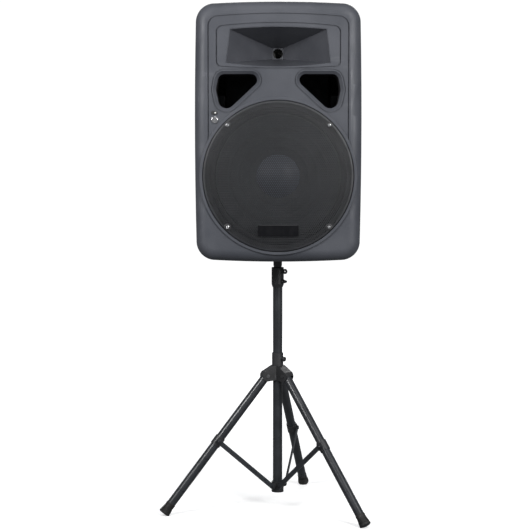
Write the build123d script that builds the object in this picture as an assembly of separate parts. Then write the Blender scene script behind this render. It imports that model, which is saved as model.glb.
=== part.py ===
from build123d import *
import os
from math import atan2, cos, degrees, hypot, radians, sin, sqrt, tan

# PA speaker on a folding tripod stand. Millimetres and degrees, +Z up, the front faces -Y.
# Everything is built about the mast's axis and then moved so that the origin is on the
# floor, at the middle of the whole object's footprint.

# ---- Cabinet: driving dimensions ----
CABINET_Z = 1047.2       # height of the cabinet's centre above the floor
FRONT_Y = -178.0         # front face of the baffle
SPLIT_Y = -112.0         # joint between the front and rear mouldings
REAR_Y = 202.0           # rear face
HALF_WIDTH = 216.8       # at the top and bottom corners
HALF_HEIGHT = 336.6      # at the sides
SIDE_BULGE = 4.5
TOP_CROWN = 7.4
CORNER_R = 50.0
FRONT_EDGE_R = 30.0
REAR_HALF_WIDTH = 150.0
REAR_HALF_HEIGHT = 312.0
REAR_EDGE_R = 16.0
WALL = 5.0
BAFFLE = 6.0
REAR_WALL = 8.0
GROOVE_WIDTH = 3.6
GROOVE_DEPTH = 3.0

# ---- Woofer, grille and the ring around them ----
WOOFER_Z = CABINET_Z - 115.8
RING_R = 208.7
RING_PROUD = 4.0
RECESS_R = 201.0
RECESS_FLOOR = FRONT_Y + 12.0
WOOFER_OPENING_R = 178.0
BOSS_BACK = FRONT_Y + 24.0
FLANGE_R = 194.0
FLANGE_THICK = 5.0
FLANGE_FRONT = RECESS_FLOOR - FLANGE_THICK
GRILLE_R = 200.0
GRILLE_RIM_Y = FRONT_Y - 2.0
GRILLE_RISE = 14.0
GRILLE_THICK = 1.5
CONE_R = 163.0
CONE_FRONT = FLANGE_FRONT - 1.0
CONE_NECK_R = 26.3
CONE_NECK_Y = CONE_FRONT + 64.0
DUST_CAP_R = 58.0
DUST_CAP_RISE = 20.0
SCREW_CIRCLE_R = 190.0
SCREW_R = 2.0
BOLT_CIRCLE_R = 187.0
BOLT_R = 2.5
BADGE_Z = CABINET_Z - 259.0
BADGE_WIDTH = 106.5
BADGE_HEIGHT = 29.4

# ---- Horn, ports and front controls, measured from the cabinet's centre ----
HORN_TOP = (125.5, 269.0, 275.0)       # half width, height at the corners, height at the middle
HORN_BOTTOM = (136.0, 182.0, 172.5)
HORN_LIP_R = 5.0
THROAT_Z = 215.0
THROAT_HALF = 14.5
THROAT_R = 13.6
HORN_DEPTH = 140.0
HORN_WALL = 3.0
PORT_CORNERS = [(-157, 153), (-31, 153), (-150, 42.6), (-165, 112)]
PORT_RADII = [18, 16, 22, 30]
PORT_BEVEL = 8.0
PORT_DUCT_LENGTH = 110.0
LAMP = (-168.3, 50.9)
LAMP_SIZE = (16.6, 10.3)
LENS_R = 2.4
BUTTON = (-167.5, 32.3)
BUTTON_R = 8.85
BUTTON_GAP = 0.35

# ---- Screws that join the shells, and hand-holds in the rear shell ----
SHELL_SCREW_X = 196.0
SHELL_SCREW_Z = [-230.0, -90.0, 90.0, 230.0]
SHELL_SCREW_R = 2.0
SHELL_SCREW_HEAD_R = 4.0
TOWER_R = 8.0
SCREW_TIP_Y = SPLIT_Y - 18.0
SCREW_SEAT_Y = SPLIT_Y + 24.0
TOP_GRIP = ((-70, 70), (45, 125), (CABINET_Z + 285, CABINET_Z + 360))
SIDE_GRIP = ((150, 230), (20, 100), (CABINET_Z + 10, CABINET_Z + 100))
GRIP_WALL = 4.0

# ---- Rear panel ----
PANEL_SCREW_R = 1.75
PANEL_SCREW_HEAD_R = 3.5
PANEL_Z = CABINET_Z - 60.0
PANEL_WIDTH = 220.0
PANEL_HEIGHT = 320.0
PANEL_THICK = 3.0
PANEL_WINDOW = (200.0, 300.0)
KNOB_Z = CABINET_Z - 30.0
KNOB_X = {"level": -60.0, "bass": 0.0, "treble": 60.0}
JACK_Z = CABINET_Z - 100.0
JACK_X = [-60.0, -25.0]
JACK_BORE_R = 3.2
INLET = (55.0, CABINET_Z - 140.0)
ROCKER_TILT = 8.0

# ---- Stand: driving dimensions ----
MAST_R = 13.1
INNER_R = 10.9
TUBE_WALL = 1.5
RUNNING_GAP = 0.05
MAST_LOW = 53.0
MAST_HIGH = 656.0
INNER_LOW = 161.0
INNER_HIGH = 813.0
CLAMP_LOW = 623.0
CLAMP_HIGH = 678.0
CLAMP_R = 17.0
CLAMP_KNOB_Z = 667.0
LOCK_KNOB_Z = 639.0
KNOB_AZIMUTH = -38.0     # the thumb screws point to the front right
KNOB_STEM_R = 3.0
SLEEVE_LOW = 682.0
SLEEVE_COLLAR_R = 12.0
SOCKET_R = 17.6
SOCKET_LOW = 709.0
SOCKET_HIGH = 815.0
CUP_LOW = 707.0
CUP_R = 26.0
LIFT_TRAVEL = 112.0
HUB_Z = 376.3
HUB_ARM = 32.0
HUB_BOSS_R = 15.8
HUB_BOTTOM = HUB_Z - 11.0
HUB_TOP = 440.0
HUB_KNOB_Z = 423.0
HUB_PIN_R = 3.0
HUB_SPLIT = 18.0         # where an arm's casting meets the boss
HUB_SECTORS = 9          # pieces of the boss round the mast, three for each leg
LEG_R = 12.2
LEG_AZIMUTHS = {"right": -44.4, "rear": 75.6, "left": 195.6}
BRACE_SIDES = {"right": -1, "rear": -1, "left": 1}
FOOT_CIRCLE_R = 325.0
FOOT_END_Z = 6.0
FOOT_R = 15.8
FOOT_LENGTH = 34.0
BRACKET_DROP = 225.6     # from the hub pivot to the bracket, along the leg
BRACKET_R = 14.2
COLLAR_R = 17.0
COLLAR_LOW = 52.0
COLLAR_HIGH = 77.0
COLLAR_PIVOT = (20.0, 66.0)            # distance from the axis, height
BRACE_WIDTH = 13.5
BRACE_LAYER = (15.3, 18.3)             # the strip's faces, beside the leg's centre plane
LUG_FACE = 14.9
PIN_R = 2.5

# ---- Stand: values worked out from the driving dimensions ----
LEG_ANGLE = degrees(atan2(FOOT_CIRCLE_R - HUB_ARM, HUB_Z - FOOT_END_Z))
LEG_LENGTH = hypot(FOOT_CIRCLE_R - HUB_ARM, HUB_Z - FOOT_END_Z)
BRACE_END = (
    HUB_ARM + BRACKET_DROP * sin(radians(LEG_ANGLE)),
    HUB_Z - BRACKET_DROP * cos(radians(LEG_ANGLE)),
)
BRACE_LENGTH = hypot(BRACE_END[0] - COLLAR_PIVOT[0], BRACE_END[1] - COLLAR_PIVOT[1])
BRACE_ANGLE = degrees(atan2(BRACE_END[0] - COLLAR_PIVOT[0], BRACE_END[1] - COLLAR_PIVOT[1]))
FOLDED_OFFSET = HUB_ARM - COLLAR_PIVOT[0]
FOLDED_RISE = sqrt(BRACE_LENGTH**2 - FOLDED_OFFSET**2)
FOLD_TRAVEL = COLLAR_PIVOT[1] + FOLDED_RISE + BRACKET_DROP - HUB_Z
FOLDED_BRACE_ANGLE = degrees(atan2(FOLDED_OFFSET, FOLDED_RISE))


# ---- Shape helpers ----
def slab(sketch, front, back):
    """Front-facing plate of a sketch drawn about the cabinet's centre."""
    plane = Plane((0, back, CABINET_Z), x_dir=(1, 0, 0), z_dir=(0, -1, 0))
    return extrude(plane * sketch, amount=back - front)


def disc(radius, x, z, front, back):
    """Round bar along Y."""
    return Pos(x, back, z) * Rot(90, 0, 0) * extrude(Circle(radius), amount=back - front)


def crossbar(radius, start, end, y, z):
    """Round bar along X."""
    return Pos(start, y, z) * Rot(0, 90, 0) * extrude(Circle(radius), amount=end - start)


def tube(outer, inner, low, high):
    """Upright tube about the mast's axis."""
    return Pos(0, 0, low) * extrude(Circle(outer) - Circle(inner), amount=high - low)


def rod(radius, low, high):
    """Solid upright bar about the mast's axis."""
    return Pos(0, 0, low) * extrude(Circle(radius), amount=high - low)


def block(x, y, z):
    """Box given by its lowest and highest value along each axis."""
    size = (x[1] - x[0], y[1] - y[0], z[1] - z[0])
    return Pos((x[0] + x[1]) / 2, (y[0] + y[1]) / 2, (z[0] + z[1]) / 2) * Box(*size)


def spin(points, x, z):
    """Solid of revolution about a front-to-back axis, from (radius, y) points."""
    return Pos(x, 0, z) * revolve(make_face(Polyline(*points, close=True)), Axis.Y)


def barrel(half_width, half_height, bulge, crown, radius):
    """Rounded outline with bowed sides and crowned ends."""
    a, b = (-half_width, half_height), (half_width, half_height)
    c, d = (half_width, -half_height), (-half_width, -half_height)
    edges = [
        ThreePointArc(a, (0, half_height + crown), b),
        ThreePointArc(b, (half_width + bulge, 0), c),
        ThreePointArc(c, (0, -half_height - crown), d),
        ThreePointArc(d, (-half_width - bulge, 0), a),
    ]
    face = make_face(edges)
    return fillet(face.vertices(), radius)


def cabinet_outline(inset=0.0):
    """The cabinet's outline at the front, drawn in by an inset."""
    return barrel(
        HALF_WIDTH - inset, HALF_HEIGHT - inset, SIDE_BULGE, TOP_CROWN, CORNER_R - inset
    )


def rounded_polygon(corners, radii):
    """Polygon with its own radius at each corner."""
    face = make_face(Polyline(*corners, close=True))
    for corner, radius in zip(corners, radii):
        vertex = face.vertices().sort_by_distance((corner[0], corner[1], 0))[0]
        face = fillet(vertex, radius)
    return face


def port_outline(grow=0.0):
    face = rounded_polygon(PORT_CORNERS, PORT_RADII)
    if grow:
        face = offset(face, grow)
    return face


def on_side(shape, side):
    """The sketch itself for side 1, and its mirror image for side -1."""
    return shape if side == 1 else mirror(shape, Plane.YZ)


def both_sides(part):
    """The part with its mirror image on the other side of the cabinet."""
    return part + mirror(part, Plane.YZ)


def on_circle(radius, count, first):
    """Offsets from the woofer's centre, spaced evenly around a circle."""
    angles = [first + i * 360.0 / count for i in range(count)]
    return [(radius * cos(radians(a)), radius * sin(radians(a))) for a in angles]


def horn_mouth(grow=0.0):
    """The horn's mouth: crowned top edge, deeper bottom edge, sides that lean outwards."""
    top_x, top_z, top_mid = HORN_TOP
    low_x, low_z, low_mid = HORN_BOTTOM
    a, b = (-top_x - grow, top_z + grow), (top_x + grow, top_z + grow)
    c, d = (low_x + grow, low_z - grow), (-low_x - grow, low_z - grow)
    edges = [
        ThreePointArc(a, (0, top_mid + grow), b),
        Line(b, c),
        ThreePointArc(c, (0, low_mid - grow), d),
        Line(d, a),
    ]
    return make_face(edges)


def horn_window():
    """Cutter for the horn's window, which widens towards the front like a trumpet's lip."""
    cutter = slab(horn_mouth(), FRONT_Y - 1, FRONT_Y + BAFFLE + 1)
    steps = 6
    for i in range(steps):
        turn = radians(90.0 * (i + 0.5) / steps)
        depth = HORN_LIP_R * (1 - sin(turn))
        widen = HORN_LIP_R * (1 - cos(turn))
        cutter += slab(horn_mouth(widen), FRONT_Y - 1, FRONT_Y + depth)
    return cutter


# ---- Cabinet shells ----
def panel_groove():
    """Groove around the panel: arched top, straight sides that run down into the ring."""
    def outline(grow):
        half, top, crown = 184.5 + grow, 300.5 + grow, 9.5
        bottom = -120.0
        edges = [
            ThreePointArc((-half, top), (0, top + crown), (half, top)),
            Line((half, top), (half, bottom)),
            Line((half, bottom), (-half, bottom)),
            Line((-half, bottom), (-half, top)),
        ]
        face = make_face(edges)
        upper = face.vertices().group_by(Axis.Y)[-1]
        return fillet(upper, 25 + grow)

    ring = Pos(0, WOOFER_Z - CABINET_Z) * Circle(RING_R)
    return outline(GROOVE_WIDTH / 2) - outline(-GROOVE_WIDTH / 2) - ring


def horn_groove():
    """Closed groove around the horn's field."""
    def outline(grow):
        half, top, low = 162.7 + grow, 276.0 + grow, 172.5 - grow
        edges = [
            ThreePointArc((-half, top), (0, top + 10), (half, top)),
            Line((half, top), (half, low)),
            ThreePointArc((half, low), (0, low - 5.5), (-half, low)),
            Line((-half, low), (-half, top)),
        ]
        face = make_face(edges)
        return fillet(face.vertices(), 15 + grow)

    return outline(GROOVE_WIDTH / 2) - outline(-GROOVE_WIDTH / 2) - horn_mouth(2.0)


def make_front_shell():
    body = slab(cabinet_outline(), FRONT_Y, SPLIT_Y)
    body = fillet(body.edges().group_by(Axis.Y)[0], FRONT_EDGE_R)
    hollow = slab(cabinet_outline(WALL), FRONT_Y + BAFFLE, SPLIT_Y + 1)
    hollow = fillet(hollow.edges().group_by(Axis.Y)[0], FRONT_EDGE_R - WALL)
    shell = body - hollow
    for x, z in shell_screw_places():
        shell += disc(TOWER_R, x, z, FRONT_Y + BAFFLE - 1, SPLIT_Y)
        shell -= disc(SHELL_SCREW_R, x, z, SCREW_TIP_Y - 1, SPLIT_Y + 1)
    # The raised ring around the woofer, and the thick boss that carries the driver.
    ring_front = FRONT_Y - RING_PROUD
    ring = disc(RING_R, 0, WOOFER_Z, ring_front, BOSS_BACK)
    ring = fillet(ring.edges().group_by(Axis.Y)[0], 1.8)
    shell += ring
    shell -= disc(RECESS_R, 0, WOOFER_Z, ring_front - 1, RECESS_FLOOR)
    shell -= disc(WOOFER_OPENING_R, 0, WOOFER_Z, RECESS_FLOOR - 1, BOSS_BACK + 1)
    # Port windows with a wide bevel and a groove around it.
    for side in (1, -1):
        port = on_side(port_outline(), side)
        collar = on_side(port_outline(12.0), side)
        rim = on_side(port_outline(13.0) - port_outline(10.0), side)
        recess = Pos(0, WOOFER_Z - CABINET_Z) * Circle(RECESS_R)
        shell += slab(collar - recess, FRONT_Y + 1, FRONT_Y + 14)
        shell -= slab(port, FRONT_Y - 1, FRONT_Y + 15)
        bevel_back = FRONT_Y + PORT_BEVEL
        plane = Plane((0, bevel_back, CABINET_Z), x_dir=(1, 0, 0), z_dir=(0, -1, 0))
        shell -= extrude(plane * port, amount=PORT_BEVEL + 0.5, taper=-45)
        ring_zone = Pos(0, WOOFER_Z - CABINET_Z) * Circle(RING_R)
        shell -= slab(rim - ring_zone, FRONT_Y - 1, FRONT_Y + 2.2)
    # Horn window with a rounded lip, and grooves.
    shell -= horn_window()
    shell -= slab(panel_groove(), FRONT_Y - 1, FRONT_Y + GROOVE_DEPTH)
    shell -= slab(horn_groove(), FRONT_Y - 1, FRONT_Y + GROOVE_DEPTH)
    # Lamp and button holes.
    lamp_hole = SlotOverall(LAMP_SIZE[0] - 3, LAMP_SIZE[1] - 3)
    shell -= slab(Pos(*LAMP) * lamp_hole, FRONT_Y - 1, FRONT_Y + BAFFLE + 1)
    hole = Circle(BUTTON_R + BUTTON_GAP)
    shell -= slab(Pos(*BUTTON) * hole, FRONT_Y - 1, FRONT_Y + BAFFLE + 1)
    # Screw holes in the boss.
    for dx, dz in on_circle(SCREW_CIRCLE_R, 4, 45):
        shell -= disc(SCREW_R, dx, WOOFER_Z + dz, RECESS_FLOOR - 1, RECESS_FLOOR + 9)
    for dx, dz in on_circle(BOLT_CIRCLE_R, 8, 22.5):
        shell -= disc(BOLT_R, dx, WOOFER_Z + dz, RECESS_FLOOR - 1, RECESS_FLOOR + 9)
    # Shadow gap at the joint between the mouldings.
    gap = cabinet_outline(-1) - cabinet_outline(1.5)
    return shell - slab(gap, SPLIT_Y - 2, SPLIT_Y + 1)


def rear_loft(inset, back):
    """Solid that tapers from the joint to the rear."""
    start = Plane((0, SPLIT_Y, CABINET_Z), x_dir=(1, 0, 0), z_dir=(0, -1, 0))
    end = Plane((0, back, CABINET_Z), x_dir=(1, 0, 0), z_dir=(0, -1, 0))
    rear = barrel(REAR_HALF_WIDTH - inset, REAR_HALF_HEIGHT - inset, 3, 5, 40 - inset)
    return loft([start * cabinet_outline(inset), end * rear], ruled=True)


def grown(limits, wall):
    return [(low - wall, high + wall) for low, high in limits]


def make_rear_shell():
    outer = rear_loft(0.0, REAR_Y)
    outer = fillet(outer.edges().group_by(Axis.Y)[-1], REAR_EDGE_R)
    cavity = rear_loft(WALL + 1, REAR_Y - REAR_WALL)
    cavity -= block(*grown(TOP_GRIP, GRIP_WALL))
    cavity -= both_sides(block(*grown(SIDE_GRIP, GRIP_WALL)))
    for x, z in shell_screw_places():
        cavity -= disc(TOWER_R, x, z, SPLIT_Y - 1, REAR_Y)
    shell = outer - cavity
    shell -= block(*TOP_GRIP)
    shell -= both_sides(block(*SIDE_GRIP))
    shell -= rod(CUP_R, CUP_LOW - 20, CUP_LOW + 40)
    panel = Pos(0, PANEL_Z - CABINET_Z) * RectangleRounded(PANEL_WIDTH, PANEL_HEIGHT, 8)
    window = Pos(0, PANEL_Z - CABINET_Z) * RectangleRounded(*PANEL_WINDOW, 6)
    shell -= slab(panel, REAR_Y - PANEL_THICK, REAR_Y + 1)
    shell -= slab(window, REAR_Y - REAR_WALL - 1, REAR_Y)
    for x, z in shell_screw_places():
        shell -= disc(SHELL_SCREW_R, x, z, SPLIT_Y - 1, SCREW_SEAT_Y)
        shell -= disc(SHELL_SCREW_HEAD_R + 1, x, z, SCREW_SEAT_Y, REAR_Y + 1)
    for x, z in panel_screw_places():
        shell -= disc(PANEL_SCREW_R, x, z, REAR_Y - REAR_WALL - 1, REAR_Y)
    return shell


def shell_screw_places():
    """Screws sunk in towers down both sides of the cabinet."""
    return [(side * SHELL_SCREW_X, CABINET_Z + z) for side in (-1, 1) for z in SHELL_SCREW_Z]


def panel_screw_places():
    edge_x, edge_z = PANEL_WIDTH / 2 - 5, PANEL_HEIGHT / 2 - 5
    return [(sx * edge_x, PANEL_Z + z * edge_z) for sx in (-1, 1) for z in (-1, -0.33, 0.33, 1)]


def make_shell_screws():
    screws = []
    for x, z in shell_screw_places():
        shank = disc(SHELL_SCREW_R, x, z, SCREW_TIP_Y, SCREW_SEAT_Y)
        head = disc(SHELL_SCREW_HEAD_R, x, z, SCREW_SEAT_Y, SCREW_SEAT_Y + 3)
        screws.append(shank + head)
    return Compound(children=screws)


def make_top_handle():
    (x_low, x_high), (y_low, y_high), (z_low, z_high) = TOP_GRIP
    middle = (y_low + y_high) / 2
    bar = block((x_low, x_high), (middle - 9, middle + 9), (CABINET_Z + 308, CABINET_Z + 322))
    return fillet(bar.edges().filter_by(Axis.X), 5.5)


def make_pole_cup():
    ceiling = SOCKET_HIGH + 0.4
    return tube(CUP_R, SOCKET_R + RUNNING_GAP, CUP_LOW, ceiling) + rod(CUP_R, ceiling, ceiling + 5)


# ---- Horn and ports ----
def make_horn_flare():
    back = FRONT_Y + HORN_DEPTH
    front = FRONT_Y + BAFFLE
    mouth = Plane((0, front, CABINET_Z), x_dir=(1, 0, 0), z_dir=(0, -1, 0))
    throat = Plane((0, back, CABINET_Z), x_dir=(1, 0, 0), z_dir=(0, -1, 0))
    square = Pos(0, THROAT_Z) * Rectangle(2 * THROAT_HALF, 2 * THROAT_HALF)
    outer_square = Pos(0, THROAT_Z) * Rectangle(
        2 * (THROAT_HALF + HORN_WALL), 2 * (THROAT_HALF + HORN_WALL)
    )
    inside = loft([mouth * horn_mouth(), throat * square], ruled=True)
    outside = loft([mouth * horn_mouth(HORN_WALL), throat * outer_square], ruled=True)
    flange = slab(horn_mouth(9.0), front, front + HORN_WALL)
    plate = disc(40.0, 0, CABINET_Z + THROAT_Z, back, back + 6)
    horn = outside + flange + plate - inside
    return horn - disc(THROAT_R, 0, CABINET_Z + THROAT_Z, back - 1, back + 7)


def make_compression_driver():
    front = FRONT_Y + HORN_DEPTH + 6
    points = [
        (THROAT_R, front), (38, front), (38, front + 8), (46, front + 10), (46, front + 34),
        (38, front + 36), (38, front + 48), (0, front + 48), (0, front + 30), (THROAT_R, front + 22),
    ]
    return spin(points, 0, CABINET_Z + THROAT_Z)


def make_port_tubes():
    wall = port_outline(3.0) - port_outline()
    return both_sides(slab(wall, FRONT_Y + 14, FRONT_Y + 14 + PORT_DUCT_LENGTH))


# ---- Woofer ----
def make_woofer_basket():
    back = FLANGE_FRONT + 90
    points = [
        (163.6, FLANGE_FRONT), (FLANGE_R, FLANGE_FRONT), (FLANGE_R, RECESS_FLOOR),
        (177.5, RECESS_FLOOR), (177.5, BOSS_BACK), (94, back), (50, back), (50, back - 3),
        (91, back - 3), (172, BOSS_BACK - 3), (168, RECESS_FLOOR),
    ]
    basket = spin(points, 0, WOOFER_Z)
    for i in range(6):
        window = Pos(0, 0, WOOFER_Z) * Rot(0, 60 * i + 30, 0) * Pos(0, 0, 131)
        basket -= window * Pos(0, BOSS_BACK + 34, 0) * Box(74, 54, 60)
    for dx, dz in on_circle(SCREW_CIRCLE_R, 4, 45):
        basket -= disc(SCREW_R + 0.2, dx, WOOFER_Z + dz, FLANGE_FRONT - 1, RECESS_FLOOR + 1)
    for dx, dz in on_circle(BOLT_CIRCLE_R, 8, 22.5):
        basket -= disc(BOLT_R + 0.2, dx, WOOFER_Z + dz, FLANGE_FRONT - 1, RECESS_FLOOR + 1)
    return basket


def make_woofer_magnet():
    front = FLANGE_FRONT + 90
    points = [
        (12, front - 3), (24.3, front - 3), (24.3, front + 40), (29.5, front + 40), (29.5, front),
        (70, front), (70, front + 8), (78, front + 8), (78, front + 36), (70, front + 36),
        (70, front + 46), (12, front + 46),
    ]
    return spin(points, 0, WOOFER_Z)


def make_woofer_surround():
    glue = FLANGE_FRONT
    middle, outer, inner = 173.6, 8.6, 7.4
    front_half = Pos(middle, glue - outer) * Rectangle(3 * outer, 2 * outer)
    roll = Pos(middle, glue) * (Circle(outer) - Circle(inner)) & front_half
    return Pos(0, 0, WOOFER_Z) * revolve(roll, Axis.Y)


def make_woofer_spider():
    """Corrugated suspension disc."""
    steps = 9
    inner, outer, mid = 28.2, 87.0, FLANGE_FRONT + 76
    front_face, back_face = [], []
    for i in range(2 * steps + 1):
        radius = inner + (outer - inner) * i / (2 * steps)
        wave = 1.5 if i % 2 else -1.5
        front_face.append((radius, mid + wave - 0.6))
        back_face.append((radius, mid + wave + 0.6))
    return spin(front_face + back_face[::-1], 0, WOOFER_Z)


def cone_y(radius):
    slope = (CONE_FRONT - CONE_NECK_Y) / (CONE_R - CONE_NECK_R)
    return CONE_NECK_Y + slope * (radius - CONE_NECK_R)


def make_woofer_cone():
    edge = CONE_R - 0.3
    points = [
        (CONE_NECK_R, cone_y(CONE_NECK_R)), (edge - 8, cone_y(edge - 8)), (edge, CONE_FRONT - 1),
        (edge, CONE_FRONT + 1.2), (edge - 8, cone_y(edge - 8) + 2),
        (CONE_NECK_R, cone_y(CONE_NECK_R) + 2),
    ]
    return spin(points, 0, WOOFER_Z)


def dome_y(radius, rim_radius, rim_y, rise):
    """Depth of a ball-shaped dome at a radius, bulging towards the front."""
    ball = (rim_radius**2 + rise**2) / (2 * rise)
    return rim_y - rise + ball - sqrt(ball**2 - radius**2)


def dome_arc(rim_radius, rim_y, rise):
    """Quarter profile of a dome, from its apex on the axis to its rim."""
    half = rim_radius / 2
    middle = (half, dome_y(half, rim_radius, rim_y, rise))
    return ThreePointArc((0, rim_y - rise), middle, (rim_radius, rim_y))


def make_dust_cap():
    rim = cone_y(DUST_CAP_R) - 0.2
    inner_rim = DUST_CAP_R - 3
    edges = [
        dome_arc(DUST_CAP_R, rim, DUST_CAP_RISE),
        Line((0, rim - DUST_CAP_RISE), (0, rim - DUST_CAP_RISE + 1.5)),
        dome_arc(inner_rim, rim, DUST_CAP_RISE - 1.5),
        Line((inner_rim, rim), (DUST_CAP_R, rim)),
    ]
    return Pos(0, 0, WOOFER_Z) * revolve(make_face(edges), Axis.Y)


def make_voice_coil():
    """Former with its winding, hung in the magnet's gap."""
    front, back = CONE_NECK_Y - 4, FLANGE_FRONT + 118
    points = [
        (25.3, front), (CONE_NECK_R - 0.05, front), (CONE_NECK_R - 0.05, back - 22),
        (27.8, back - 22), (27.8, back), (25.3, back),
    ]
    return spin(points, 0, WOOFER_Z)


def make_woofer_bolts():
    bolts = []
    for dx, dz in on_circle(BOLT_CIRCLE_R, 8, 22.5):
        shank = disc(BOLT_R, dx, WOOFER_Z + dz, FLANGE_FRONT, RECESS_FLOOR + 9)
        head = disc(4.5, dx, WOOFER_Z + dz, FLANGE_FRONT - 2.8, FLANGE_FRONT)
        bolts.append(head + shank)
    return Compound(children=bolts)


# ---- Grille and badge ----
def make_grille():
    apex = GRILLE_RIM_Y - GRILLE_RISE
    skirt_x = GRILLE_R - GRILLE_THICK
    edges = [
        dome_arc(GRILLE_R, GRILLE_RIM_Y, GRILLE_RISE),
        Line((GRILLE_R, GRILLE_RIM_Y), (GRILLE_R, RECESS_FLOOR)),
        Line((GRILLE_R, RECESS_FLOOR), (skirt_x, RECESS_FLOOR)),
        Line((skirt_x, RECESS_FLOOR), (skirt_x, GRILLE_RIM_Y + GRILLE_THICK)),
        dome_arc(skirt_x, GRILLE_RIM_Y + GRILLE_THICK, GRILLE_RISE),
        Line((0, apex), (0, apex + GRILLE_THICK)),
    ]
    grille = Pos(0, 0, WOOFER_Z) * revolve(make_face(edges), Axis.Y)
    for dx, dz in on_circle(SCREW_CIRCLE_R, 4, 45):
        grille -= disc(SCREW_R + 0.2, dx, WOOFER_Z + dz, apex, RECESS_FLOOR)
    return grille


def grille_front_y(radius):
    return dome_y(radius, GRILLE_R, GRILLE_RIM_Y, GRILLE_RISE)


def make_grille_screws():
    screws = []
    seat = grille_front_y(SCREW_CIRCLE_R) - 0.6
    for dx, dz in on_circle(SCREW_CIRCLE_R, 4, 45):
        shank = disc(SCREW_R, dx, WOOFER_Z + dz, seat, RECESS_FLOOR + 9)
        head = disc(4.5, dx, WOOFER_Z + dz, seat - 2.2, seat)
        screws.append(fillet(head.edges().group_by(Axis.Y)[0], 1.2) + shank)
    return Compound(children=screws)


def make_badge_plate():
    radius = abs(BADGE_Z - WOOFER_Z)
    tilt = degrees(2 * GRILLE_RISE * radius / GRILLE_R**2)
    plate = extrude(RectangleRounded(BADGE_WIDTH, BADGE_HEIGHT, 2.5), amount=2.6)
    plate = chamfer(plate.edges().group_by(Axis.Z)[-1], 0.6)
    return Pos(0, grille_front_y(radius) - 0.5, BADGE_Z) * Rot(90 + tilt, 0, 0) * plate


# ---- Front controls ----
def make_indicator_bezel():
    plate = slab(Pos(*LAMP) * SlotOverall(*LAMP_SIZE), FRONT_Y - 2.2, FRONT_Y)
    plate = fillet(plate.edges().group_by(Axis.Y)[0], 1.0)
    plug = slab(Pos(*LAMP) * SlotOverall(LAMP_SIZE[0] - 3, LAMP_SIZE[1] - 3), FRONT_Y, FRONT_Y + 8)
    lens = slab(Pos(LAMP[0] + 2.5, LAMP[1]) * Circle(LENS_R), FRONT_Y - 3, FRONT_Y + 9)
    return plate + plug - lens


def make_indicator_lens():
    lens = slab(Pos(LAMP[0] + 2.5, LAMP[1]) * Circle(LENS_R), FRONT_Y - 3.6, FRONT_Y + 8)
    return fillet(lens.edges().group_by(Axis.Y)[0], 2.0)


def make_push_button():
    x, z = BUTTON[0], CABINET_Z + BUTTON[1]
    cap = disc(BUTTON_R, x, z, FRONT_Y - 4, FRONT_Y + BAFFLE + 0.4)
    cap = fillet(cap.edges().group_by(Axis.Y)[0], 1.5)
    return cap + disc(BUTTON_R + 2.2, x, z, FRONT_Y + BAFFLE + 0.4, FRONT_Y + BAFFLE + 3.4)


# ---- Rear panel and what it carries ----
def make_amp_panel():
    plate = Pos(0, PANEL_Z - CABINET_Z) * RectangleRounded(PANEL_WIDTH, PANEL_HEIGHT, 8)
    panel = slab(plate, REAR_Y - PANEL_THICK, REAR_Y)
    for x, z in panel_screw_places():
        panel -= disc(PANEL_SCREW_R, x, z, REAR_Y - PANEL_THICK - 1, REAR_Y + 1)
    for x in KNOB_X.values():
        panel -= disc(3.5, x, KNOB_Z, REAR_Y - PANEL_THICK - 1, REAR_Y + 1)
    for x in JACK_X:
        panel -= disc(5.0, x, JACK_Z, REAR_Y - PANEL_THICK - 1, REAR_Y + 1)
    x, z = INLET
    return panel - block((x - 14, x + 14), (REAR_Y - 10, REAR_Y + 1), (z - 26, z + 26))


def make_panel_screws():
    screws = []
    for x, z in panel_screw_places():
        head = disc(PANEL_SCREW_HEAD_R, x, z, REAR_Y, REAR_Y + 2)
        head = fillet(head.edges().group_by(Axis.Y)[-1], 1.0)
        screws.append(head + disc(PANEL_SCREW_R, x, z, REAR_Y - REAR_WALL + 0.5, REAR_Y))
    return Compound(children=screws)


def make_amp_heatsink():
    low, high = CABINET_Z + 10, CABINET_Z + 86
    sink = block((-92, 92), (REAR_Y, REAR_Y + 4), (low, high))
    fins = 17
    for i in range(fins):
        x = -90 + i * 180 / (fins - 1)
        sink += block((x - 1.2, x + 1.2), (REAR_Y + 3, REAR_Y + 24), (low, high))
    return sink


def make_potentiometers():
    pots = []
    front = REAR_Y - PANEL_THICK
    for x in KNOB_X.values():
        body = disc(8.5, x, KNOB_Z, front - 14, front)
        pots.append(body - disc(3 + RUNNING_GAP, x, KNOB_Z, front - 12, front + 1))
    return Compound(children=pots)


def make_knob(x):
    shaft = disc(3, x, KNOB_Z, REAR_Y - PANEL_THICK - 11.5, REAR_Y + 2)
    cap = disc(9, x, KNOB_Z, REAR_Y + 1, REAR_Y + 15)
    cap = fillet(cap.edges().group_by(Axis.Y)[-1], 1.5)
    for i in range(12):
        cap -= Pos(x, 0, KNOB_Z) * Rot(0, 30 * i, 0) * block((8.6, 10), (REAR_Y, REAR_Y + 16), (-0.7, 0.7))
    pointer = block((x - 0.6, x + 0.6), (REAR_Y + 14.2, REAR_Y + 16), (KNOB_Z + 2, KNOB_Z + 9))
    return cap + shaft - pointer


def make_input_jacks():
    jacks = []
    inner = REAR_Y - PANEL_THICK
    for x in JACK_X:
        body = block((x - 8, x + 8), (inner - 22, inner), (JACK_Z - 8, JACK_Z + 8))
        barrel_part = disc(5.0, x, JACK_Z, inner - 1, REAR_Y + 0.5)
        nut = Pos(x, REAR_Y + 3, JACK_Z) * Rot(90, 0, 0) * extrude(RegularPolygon(8, 6), amount=3)
        jack = body + barrel_part + nut
        jacks.append(jack - disc(JACK_BORE_R, x, JACK_Z, inner - 19, REAR_Y + 4))
    return Compound(children=jacks)


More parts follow.
